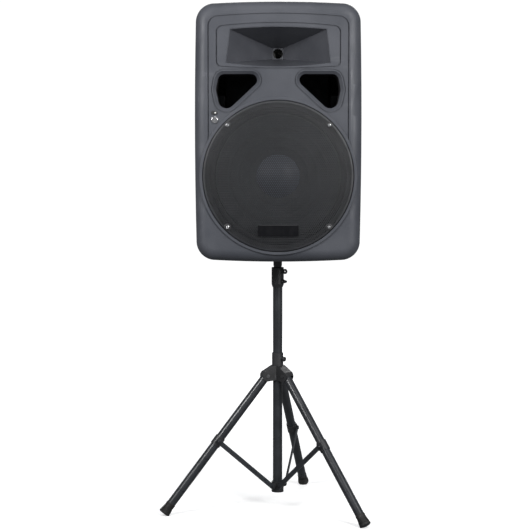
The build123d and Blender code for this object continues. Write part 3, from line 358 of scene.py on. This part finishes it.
# ---- Mesh helpers ----
def add_spin(bm, profile, segments, place, closed=False, lobes=0, lobe_depth=0.0):
    """Revolves (radius, height) points about local Z; lobes pull the radius in between them."""
    rings = []
    for radius, height in profile:
        if radius < 1e-6:
            rings.append([bm.verts.new(place @ Vector((0, 0, height)))])
            continue
        ring = []
        for i in range(segments):
            angle = tau * i / segments
            reach = radius * (1 - lobe_depth * (0.5 - 0.5 * cos(lobes * angle)))
            ring.append(bm.verts.new(place @ Vector((reach * cos(angle), reach * sin(angle), height))))
        rings.append(ring)
    pairs = list(zip(rings, rings[1:]))
    if closed:
        pairs.append((rings[-1], rings[0]))
    for low, high in pairs:
        for i in range(segments):
            j = (i + 1) % segments
            if len(low) == 1 and len(high) > 1:
                bm.faces.new((low[0], high[j], high[i]))
            elif len(high) == 1 and len(low) > 1:
                bm.faces.new((low[i], low[j], high[0]))
            elif len(low) > 1:
                bm.faces.new((low[i], low[j], high[j], high[i]))


def add_prism(bm, outline, low, high, place, bevel=0.0):
    """Extrudes an (x, y) outline along local Z, with a narrow bevel at the upper end."""
    levels = [(low, 0.0), (high - bevel, 0.0), (high, bevel)] if bevel else [(low, 0.0), (high, 0.0)]
    centre = Vector((sum(p[0] for p in outline), sum(p[1] for p in outline))) / len(outline)
    rings = []
    for height, inset in levels:
        ring = []
        for x, y in outline:
            out = Vector((x, y)) - centre
            point = centre + out * (1 - inset / max(out.length, 1e-6))
            ring.append(bm.verts.new(place @ Vector((point.x, point.y, height))))
        rings.append(ring)
    count = len(outline)
    for a, b in zip(rings, rings[1:]):
        for i in range(count):
            j = (i + 1) % count
            bm.faces.new((a[i], a[j], b[j], b[i]))
    bm.faces.new(rings[0][::-1])
    bm.faces.new(rings[-1])


def make_piece(name, bm, body, slot, replaces=(), angle=35.0, material=None):
    bmesh.ops.recalc_face_normals(bm, faces=bm.faces)
    mesh = bpy.data.meshes.new(name)
    bm.to_mesh(mesh)
    bm.free()
    mesh.materials.append(material or FINISH[slot])
    mesh.shade_smooth()
    mesh.set_sharp_from_angle(angle=radians(angle))
    piece = bpy.data.objects.new(name, mesh)
    bpy.context.collection.objects.link(piece)
    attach(piece, body)
    if replaces:
        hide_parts(*replaces)
    return piece


def at(x, y, z, turn=None):
    place = Matrix.Translation((x, y, z))
    return place @ turn if turn else place


# ---- Grille ----
GRILLE_R = 0.200
GRILLE_RISE = 0.014
GRILLE_RIM_Y = GRILLE_LOW.y + GRILLE_RISE
HOLE_PITCH = 0.0052
HOLE_R = 0.0021
SHEET = 0.0012


def dome_y(radius):
    ball = (GRILLE_R**2 + GRILLE_RISE**2) / (2 * GRILLE_RISE)
    return GRILLE_RIM_Y - GRILLE_RISE + ball - sqrt(ball**2 - radius**2)


def hole_centres(limit):
    """Hexagonal lattice of holes inside a circle."""
    centres = {}
    rows = int(limit / (HOLE_PITCH * sin(pi / 3))) + 1
    for row in range(-rows, rows + 1):
        for column in range(-2 * rows, 2 * rows + 1):
            x = (column + row / 2) * HOLE_PITCH
            z = row * HOLE_PITCH * sin(pi / 3)
            if hypot(x, z) < limit:
                centres[(column, row)] = (x, z)
    return centres


def make_grille():
    """Domed sheet with hexagonal holes, and the folded rim that holds it in the ring."""
    bm = bmesh.new()
    corners = {}
    for key, (x, z) in hole_centres(0.1955).items():
        for i in range(6):
            angle = tau * (i + 0.5) / 6
            px, pz = x + HOLE_R * cos(angle), z + HOLE_R * sin(angle)
            corners[key, i] = bm.verts.new((WOOFER.x + px, dome_y(hypot(px, pz)), WOOFER.z + pz))
    steps = [(1, 0), (0, 1), (-1, 1), (-1, 0), (0, -1), (1, -1)]
    for column, row in {key for key, i in corners}:
        here = (column, row)
        for side in (0, 1, 2):
            there = (column + steps[side][0], row + steps[side][1])
            if (there, 0) in corners:
                first, second = (side - 1) % 6, side
                bm.faces.new((corners[here, first], corners[here, second],
                              corners[there, (first + 3) % 6], corners[there, (second + 3) % 6]))
        for side in (0, 1):
            next_one = (column + steps[side][0], row + steps[side][1])
            after = (column + steps[side + 1][0], row + steps[side + 1][1])
            if (next_one, 0) in corners and (after, 0) in corners:
                bm.faces.new((corners[here, side], corners[next_one, side + 2],
                              corners[after, (side + 4) % 6]))
    bmesh.ops.recalc_face_normals(bm, faces=bm.faces)
    front = list(bm.faces)
    edges = [edge for edge in bm.edges if len(edge.link_faces) == 1]
    copy = {}
    for vertex in list(bm.verts):
        copy[vertex] = bm.verts.new(vertex.co + Vector((0, SHEET, 0)))
    for face in front:
        bm.faces.new([copy[v] for v in reversed(face.verts)])
    for edge in edges:
        a, b = edge.verts
        bm.faces.new((a, b, copy[b], copy[a]))
    back = GRILLE_HIGH.y
    rim = [
        (0.1935, -dome_y(0.1935) + 0.0004), (0.1975, -dome_y(0.1975) + 0.0005),
        (0.1993, -dome_y(0.1993) - 0.0001),
        (GRILLE_R, -GRILLE_RIM_Y - 0.0012), (GRILLE_R, -back), (GRILLE_R - 0.0012, -back),
        (GRILLE_R - 0.0014, -GRILLE_RIM_Y - 0.003), (0.1935, -dome_y(0.1935) - 0.0018),
    ]
    add_spin(bm, rim, 160, at(WOOFER.x, 0, WOOFER.z, TO_FRONT), closed=True)
    return make_piece("grille_sheet", bm, "cabinet", "grille_metal", ["grille"])


# ---- Woofer cone behind the grille ----
def make_cone():
    """Pressed cone with three stiffening rings."""
    low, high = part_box("woofer_cone")
    neck_r, edge_r = 0.0263, (high.x - low.x) / 2
    front, back = -low.y, -high.y
    outline = []
    for i in range(61):
        radius = neck_r + (edge_r - neck_r) * i / 60
        height = back + 0.002 + (front - back - 0.002) * (radius - neck_r) / (edge_r - neck_r)
        for ring in (0.080, 0.105, 0.130):
            height += 0.0022 * max(0.0, 1 - abs(radius - ring) / 0.0045)
        outline.append((radius, height))
    under = [(radius, height - 0.0018) for radius, height in reversed(outline)]
    bm = bmesh.new()
    add_spin(bm, outline + under, 128, at(WOOFER.x, 0, WOOFER.z, TO_FRONT), closed=True)
    return make_piece("ribbed_cone", bm, "woofer_moving", "cone_paper", ["woofer_cone"])


# ---- Screws ----
def add_cross_screw(bm, place, radius, height, shank_r, shank):
    """Pan head with a cross recess, on a plain shank behind it; local Z points out of the head."""
    arm, half, floor = radius * 0.62, radius * 0.16, height * 0.45
    cross = []
    for i in range(4):
        a = tau * i / 4
        for x, y in ((half, -half), (arm, -half), (arm, half)):
            cross.append((x * cos(a) - y * sin(a), x * sin(a) + y * cos(a)))
    count = len(cross)
    top, bottom, ring = [], [], []
    for x, y in cross:
        top.append(bm.verts.new(place @ Vector((x, y, height * (1 - 0.12 * (hypot(x, y) / radius) ** 2)))))
        bottom.append(bm.verts.new(place @ Vector((x * 0.8, y * 0.8, floor))))
        out = Vector((x, y)).normalized() * radius * 0.8
        ring.append(bm.verts.new(place @ Vector((out.x, out.y, height * 0.9))))
    rows = [bottom, top, ring]
    for scale, level in ((0.95, 0.66), (1.0, 0.4), (1.0, 0.0)):
        row = []
        for x, y in cross:
            out = Vector((x, y)).normalized() * radius * scale
            row.append(bm.verts.new(place @ Vector((out.x, out.y, height * level))))
        rows.append(row)
    for level in (0.0, -shank):
        row = []
        for x, y in cross:
            out = Vector((x, y)).normalized() * shank_r
            row.append(bm.verts.new(place @ Vector((out.x, out.y, level))))
        rows.append(row)
    for a, b in zip(rows, rows[1:]):
        for i in range(count):
            j = (i + 1) % count
            bm.faces.new((a[i], b[i], b[j], a[j]))
    bm.faces.new(bottom)
    bm.faces.new(rows[-1][::-1])


SCREW_CIRCLE_R = 0.190
HEAD_R = 0.0045
HEAD_HEIGHT = 0.0024
SHANK_R = 0.002


def make_grille_screws():
    """Four cross-head screws at the grille's edge, each in a dark cup."""
    low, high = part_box("grille_screws")
    angles = [pi / 4 + i * pi / 2 for i in range(4)]
    places = [(WOOFER.x + SCREW_CIRCLE_R * cos(a), WOOFER.z + SCREW_CIRCLE_R * sin(a)) for a in angles]
    bm = bmesh.new()
    for i, (x, z) in enumerate(places):
        place = at(x, low.y + HEAD_HEIGHT, z, TO_FRONT @ Matrix.Rotation(0.4 + 0.9 * i, 4, "Z"))
        add_cross_screw(bm, place, HEAD_R, HEAD_HEIGHT, SHANK_R, high.y - low.y - HEAD_HEIGHT)
    make_piece("grille_cross_screws", bm, "cabinet", "screw_steel", ["grille_screws"])
    cup = [
        (0.0046, 0.0), (0.0088, 0.0), (0.0092, 0.0006),
        (0.0088, 0.0014), (0.0060, 0.0022), (0.0046, 0.0010),
    ]
    bm = bmesh.new()
    for x, z in places:
        add_spin(bm, cup, 40, at(x, low.y + 0.0036, z, TO_FRONT), closed=True)
    make_piece("screw_cups", bm, "cabinet", "black_plastic")


# ---- Stand ----
KNOB_TURN = Matrix.Rotation(radians(-38), 4, "Z")     # the thumb screws point to the front right
STEM_R = 0.0029
STEM_START = 0.0137                                   # from the mast's axis
LEG_AZIMUTHS = {"right": -44.4, "rear": 75.6, "left": 195.6}
LEG_R = 0.0122
FOOT_R = 0.0158
HUB_ARM = 0.032
HUB_Z = 0.3763
FOOT_AWAY = 0.325
FOOT_END_Z = 0.006
LEG_LENGTH = hypot(FOOT_AWAY - HUB_ARM, HUB_Z - FOOT_END_Z)
LEG_TILT = atan2(FOOT_AWAY - HUB_ARM, HUB_Z - FOOT_END_Z)


def thumb_place(node):
    """Frame on the mast's axis at a thumb screw's height; local +Z points out along the screw."""
    return at(MAST.x, MAST.y, middle(node).z, KNOB_TURN @ TO_RIGHT)


def rounded_ring(inner, outer, half, corner):
    """Closed (radius, height) section of a flat ring with rounded corners."""
    points = []
    for cx, cy, start in (
        (outer - corner, half - corner, 0), (inner + corner, half - corner, 90),
        (inner + corner, corner - half, 180), (outer - corner, corner - half, 270),
    ):
        for step in range(5):
            angle = radians(start + 22.5 * step)
            points.append((cx + corner * cos(angle), cy + corner * sin(angle)))
    return points


def make_thumb_screws():
    """Eye screw, pointed screw and fluted hub knob, each with its stem."""
    bm = bmesh.new()
    place = thumb_place("clamp_knob")
    stem = [
        (0, STEM_START), (STEM_R, STEM_START), (STEM_R, 0.0165), (0.0046, 0.0172),
        (0.0046, 0.0183), (0.0036, 0.0192), (0, 0.0192),
    ]
    add_spin(bm, stem, 40, place)
    eye = place @ Matrix.Translation((0, 0, 0.0255)) @ Matrix.Rotation(pi / 2, 4, "X")
    add_spin(bm, rounded_ring(0.0026, 0.0070, 0.0030, 0.0013), 56, eye, closed=True)
    make_piece("eye_thumb_screw", bm, "clamp_knob", "stand_plastic", ["clamp_knob"])
    bm = bmesh.new()
    point = [
        (0, STEM_START), (STEM_R, STEM_START), (STEM_R, 0.0180), (0.0058, 0.0184), (0.0065, 0.0192), (0.0062, 0.0206),
        (0.0052, 0.0222), (0.0044, 0.0250), (0.0038, 0.0280), (0.0034, 0.0300), (0.0020, 0.0307), (0, 0.0309),
    ]
    add_spin(bm, point, 48, thumb_place("lock_knob"), lobes=6, lobe_depth=0.1)
    make_piece("pointed_thumb_screw", bm, "lock_knob", "stand_plastic", ["lock_knob"])
    bm = bmesh.new()
    knob = [
        (0, STEM_START), (STEM_R, STEM_START), (STEM_R, 0.0188), (0.0058, 0.0190), (0.0068, 0.0198), (0.0070, 0.0210),
        (0.0069, 0.0246), (0.0062, 0.0257), (0.0045, 0.0261), (0.0038, 0.0254), (0, 0.0253),
    ]
    add_spin(bm, knob, 84, thumb_place("hub_knob"), lobes=7, lobe_depth=0.12)
    make_piece("fluted_hub_knob", bm, "hub_knob", "stand_plastic", ["hub_knob"])


def make_boots():
    """Ribbed rubber boots that flare towards the floor and are cut flat on it."""
    profile = [(0, 0), (FOOT_R - 0.003, 0), (FOOT_R - 0.001, 0.0008), (FOOT_R, 0.0028), (FOOT_R, 0.0062)]
    for i in range(5):
        height = 0.0075 + 0.0036 * i
        radius = FOOT_R - 0.0003 - 0.00055 * i
        profile += [(radius - 0.0011, height), (radius - 0.0011, height + 0.001), (radius, height + 0.0016),
                    (radius - 0.0001, height + 0.0030)]
    profile += [(LEG_R + 0.0009, 0.0270), (LEG_R + 0.0009, 0.0305), (LEG_R + 0.0013, 0.0315),
                (LEG_R + 0.0012, 0.0335), (LEG_R + 0.0004, 0.0340), (LEG_R - 0.0001, 0.0340),
                (LEG_R - 0.0001, 0.0060), (0, 0.0060)]
    for name, azimuth in LEG_AZIMUTHS.items():
        turn = Matrix.Rotation(radians(azimuth), 4, "Z")
        hinge = at(MAST.x, MAST.y, 0, turn) @ Matrix.Translation((HUB_ARM, 0, HUB_Z))
        place = hinge @ Matrix.Rotation(-LEG_TILT, 4, "Y") @ Matrix.Translation((0, 0, -LEG_LENGTH))
        bm = bmesh.new()
        add_spin(bm, profile, 96, place)
        everything = bm.verts[:] + bm.edges[:] + bm.faces[:]
        bmesh.ops.bisect_plane(bm, geom=everything, plane_co=(0, 0, 0), plane_no=(0, 0, -1), clear_outer=True)
        rim = [edge for edge in bm.edges if len(edge.link_faces) == 1]
        bmesh.ops.holes_fill(bm, edges=rim)
        make_piece(f"{name}_ribbed_boot", bm, f"leg_{name}", "foot_rubber", [f"foot_{name}"])


# ---- Handle and rear controls ----
def add_frame(bm, low_x, high_x, low_z, high_z, width=0.0005):
    """Thin printed rectangle on the rear panel, from four strips."""
    place = at(0, PANEL_Y, 0, TO_FRONT)
    for x0, x1, z0, z1 in (
        (low_x, high_x, low_z, low_z + width),
        (low_x, high_x, high_z - width, high_z),
        (low_x, low_x + width, low_z + width, high_z - width),
        (high_x - width, high_x, low_z + width, high_z - width),
    ):
        add_prism(bm, [(x0, z0), (x1, z0), (x1, z1), (x0, z1)], -0.00006, 0.0001, place)


def make_panel_print():
    """Printed outlines round the knobs, the jacks and the mains inlet."""
    bm = bmesh.new()
    knobs_low, knobs_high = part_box("level_knob")[0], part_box("treble_knob")[1]
    add_frame(bm, knobs_low.x - 0.016, knobs_high.x + 0.016, knobs_low.z - 0.012, knobs_high.z + 0.012)
    jacks_low, jacks_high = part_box("input_jacks")
    add_frame(bm, jacks_low.x - 0.008, jacks_high.x + 0.008, jacks_low.z - 0.008, jacks_high.z + 0.008)
    inlet_low, inlet_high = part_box("mains_inlet")
    add_frame(bm, inlet_low.x - 0.006, inlet_high.x + 0.006, inlet_low.z - 0.006, inlet_high.z + 0.006)
    make_piece("panel_print", bm, "cabinet", "panel_metal", material=PRINT)


def make_handle_grip():
    """Handle bar with shallow finger ridges and flattened front and back."""
    low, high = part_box("top_handle")
    half, across, tall = (high.x - low.x) / 2, (high.y - low.y) / 2, (high.z - low.z) / 2
    profile = [(0, -half)]
    steps = 120
    for i in range(steps + 1):
        x = -half + 2 * half * i / steps
        ridge = 0.05 * (0.5 - 0.5 * cos(tau * x / 0.011)) if abs(x) < 0.6 * half else 0.0
        profile.append((1 - ridge, x))
    profile.append((0, half))
    place = at(*((low + high) / 2)) @ Matrix.Diagonal((1, across, tall, 1)) @ TO_RIGHT
    bm = bmesh.new()
    add_spin(bm, profile, 48, place)
    make_piece("ridged_handle", bm, "cabinet", "black_plastic", ["top_handle"])


def make_rear_knobs():
    """Fluted knobs with a skirt and a pale pointer, and printed scale marks round each."""
    bm_marks = bmesh.new()
    for name in ("level", "bass", "treble"):
        node = f"{name}_knob"
        low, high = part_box(node)
        x, z = middle(node).x, middle(node).z
        inner, top = low.y - PANEL_Y, high.y - PANEL_Y
        place = at(x, PANEL_Y, z, TO_BACK)
        bm = bmesh.new()
        shaft = [(0, inner), (0.003, inner), (0.003, 0.0012)]
        skirt = [(0.0089, 0.0012), (0.0090, 0.0024), (0.0080, 0.0034), (0.0076, 0.0040)]
        crown = [
            (0.0074, top - 0.0015), (0.0066, top - 0.0003), (0.0058, top),
            (0.0050, top - 0.0005), (0, top - 0.0006),
        ]
        add_spin(bm, shaft + skirt + crown, 120, place, lobes=20, lobe_depth=0.05)
        make_piece(f"{name}_fluted_knob", bm, node, "black_plastic", [node])
        bm = bmesh.new()
        bar = [(-0.0004, 0.0022), (0.0004, 0.0022), (0.0004, 0.0070), (-0.0004, 0.0070)]
        up = place @ Matrix.Rotation(pi, 4, "Z")
        add_prism(bm, bar, top - 0.0012, top + 0.0001, up, 0.00005)
        make_piece(f"{name}_pointer", bm, node, "black_plastic", material=PRINT)
        for i in range(11):
            start, end = 0.0115, 0.0115 + (0.0034 if i % 5 == 0 else 0.0020)
            turn = up @ Matrix.Rotation(radians(-150 + 30 * i), 4, "Z")
            mark = [(-0.0003, start), (0.0003, start), (0.0003, end), (-0.0003, end)]
            add_prism(bm_marks, mark, -0.0001, 0.00006, turn)
    make_piece("scale_marks", bm_marks, "cabinet", "panel_metal", material=PRINT)


def make_floor():
    bm = bmesh.new()
    bmesh.ops.create_circle(bm, cap_ends=True, segments=96, radius=14)
    mesh = bpy.data.meshes.new("floor")
    bm.to_mesh(mesh)
    bm.free()
    mesh.materials.append(floor_surface())
    floor = bpy.data.objects.new("floor", mesh)
    floor.location = (MAST.x, MAST.y, 0)
    floor.visible_diffuse = False
    floor.visible_glossy = False
    bpy.context.collection.objects.link(floor)


make_camera()
make_world()
make_floor()
# A softbox at the camera's right is the key light. A near one at the left lifts the cabinet's left side.
make_light("front_right", (1.9, -2.7, 2.0), (0, 0, 1.05), (1.0, 1.5), 108)
make_light("left_near", (-1.25, -1.5, 1.65), (-0.25, -0.2, 1.25), (0.5, 0.8), 32)
make_light("top", (0.1, -1.3, 3.2), (0, 0, 0.9), (1.8, 1.2), 16)
make_light("back_fill", (0.6, 3.6, 2.6), (0, 0.1, 0.9), (2.4, 1.6), 48)
finish_cad_nodes()
make_grille()
make_cone()
make_grille_screws()
make_thumb_screws()
make_boots()
make_handle_grip()
make_rear_knobs()
make_panel_print()

bpy.context.scene.view_settings.view_transform = "Standard"
